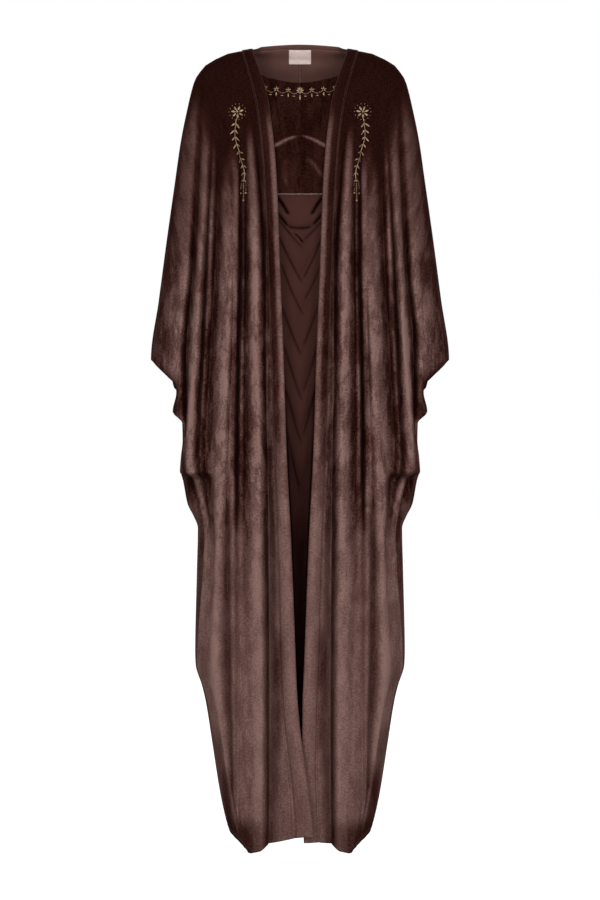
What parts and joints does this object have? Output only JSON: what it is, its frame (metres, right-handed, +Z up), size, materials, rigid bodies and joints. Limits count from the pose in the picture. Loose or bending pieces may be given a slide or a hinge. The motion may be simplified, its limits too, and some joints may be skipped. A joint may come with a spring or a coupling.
{
  "type": "kaftan",
  "caption": "Long velvet kaftan in its worn shape, open robe with batwing sleeves cut in one, over a sewn-in front with velvet bodice and draped crepe skirt, pleated to the hem.",
  "frame": {"origin": "middle of the shoulder line, level with the neck ends of the shoulder seams, where the shoulders carry the cloth", "axes": "+Z up, -Y out of the front, +X to the wearer's left"},
  "size_m": [0.566, 0.2664, 1.5334],
  "materials": {
    "velvet": "soft pile velvet, chocolate brown with a mauve sheen",
    "velvet_band": "the same velvet folded to a flat band",
    "crepe": "smooth heavy crepe, low sheen",
    "satin_piping": "satin-covered cord",
    "label_cloth": "woven ribbon, bare"
  },
  "bodies": {
    "root": {"front_left": "velvet", "front_right": "velvet", "back_left": "velvet", "back_right": "velvet", "front_band_left": "velvet_band", "front_band_right": "velvet_band", "back_neck_band": "velvet_band", "bodice_front": "velvet", "skirt_front": "crepe", "waist_piping": "satin_piping", "neck_label": "label_cloth"}
  },
  "joints": []
}
